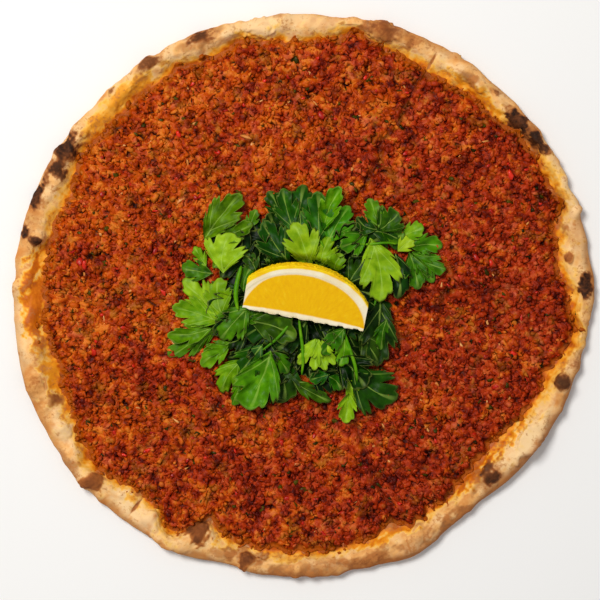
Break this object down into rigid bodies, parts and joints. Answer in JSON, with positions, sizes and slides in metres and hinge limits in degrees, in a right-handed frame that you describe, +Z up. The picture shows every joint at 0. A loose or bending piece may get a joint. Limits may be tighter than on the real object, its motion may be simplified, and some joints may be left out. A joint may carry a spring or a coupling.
{
  "type": "lahmacun",
  "caption": "Round thin flatbread baked under spiced minced meat inside a blistered rim, with flat-leaf parsley and a lemon wedge on its middle.",
  "frame": {"origin": "middle of the flat underside of the bread, under the middle of its outline's box", "axes": "+Z up from the face that the bread rests on; +X to the eater's right and +Y away, as the lemon wedge's core edge faces the eater"},
  "size_m": [0.3201, 0.31, 0.033],
  "materials": {
    "baked_dough": "dry, floured oven-baked dough: pale cream to gold, with brown and black blisters",
    "baked_mince": "crumbly red-brown minced meat with tomato and pepper paste, lightly oily",
    "parsley_leaf": "fresh green leaf with a soft sheen",
    "lemon_flesh_and_peel": "waxy yellow peel, cream pith and wet yellow flesh"
  },
  "bodies": {
    "root": {"crust": "baked_dough", "meat_topping": "baked_mince", "parsley_bunch": "parsley_leaf", "lemon_wedge": "lemon_flesh_and_peel"}
  },
  "joints": []
}
